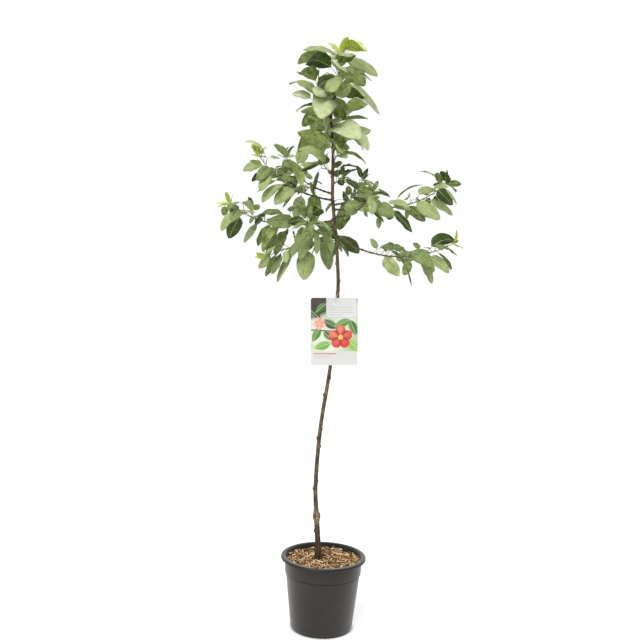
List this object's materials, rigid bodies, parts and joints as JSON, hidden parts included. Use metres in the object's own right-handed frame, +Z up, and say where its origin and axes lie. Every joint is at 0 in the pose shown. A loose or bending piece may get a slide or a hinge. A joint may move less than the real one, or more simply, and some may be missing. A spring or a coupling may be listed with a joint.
{
  "type": "dwarf apple tree in a pot",
  "caption": "Young dwarf apple tree with a leafy leader and spreading side shoots on a slim stem, in a tapered round nursery pot, with a picture card hung on the stem.",
  "frame": {"origin": "centre of the pot's flat underside", "axes": "+Z up along the trunk, -Y towards the front of the tree with its picture card, +X to the right of that view"},
  "size_m": [0.6109, 0.4774, 1.5074],
  "materials": {
    "pot_plastic": "satin moulded dark grey plastic",
    "potting_mix": "moist dark potting mix",
    "coir_chips": "dry tan coir chips",
    "bark": "grey-brown young bark",
    "apple_leaf": "soft green leaves, paler underneath",
    "printed_card": "printed plastic card",
    "tie_plastic": "thin translucent white plastic loop"
  },
  "bodies": {
    "root": {"pot": "pot_plastic", "potting_mix": "potting_mix", "mulch": "coir_chips", "trunk": "bark", "bough_left_upper": "bark", "bough_left_middle": "bark", "bough_left_lower": "bark", "bough_right_upper": "bark", "bough_right_lower": "bark", "bough_front_left": "bark", "bough_front_right": "bark", "bough_back_left": "bark", "bough_back_right": "bark", "bough_back_lower": "bark", "foliage_leader": "apple_leaf", "foliage_side_shoot": "apple_leaf", "foliage_left_upper": "apple_leaf", "foliage_left_middle": "apple_leaf", "foliage_left_lower": "apple_leaf", "foliage_right_upper": "apple_leaf", "foliage_right_lower": "apple_leaf", "foliage_front_left": "apple_leaf", "foliage_front_right": "apple_leaf", "foliage_back_left": "apple_leaf", "foliage_back_right": "apple_leaf", "foliage_back_lower": "apple_leaf", "foliage_spur_1": "apple_leaf", "foliage_spur_2": "apple_leaf", "foliage_spur_3": "apple_leaf", "foliage_spur_4": "apple_leaf", "foliage_spur_5": "apple_leaf", "foliage_spur_6": "apple_leaf", "foliage_spur_7": "apple_leaf", "foliage_spur_8": "apple_leaf", "label_card": "printed_card", "label_loop": "tie_plastic"}
  },
  "joints": []
}
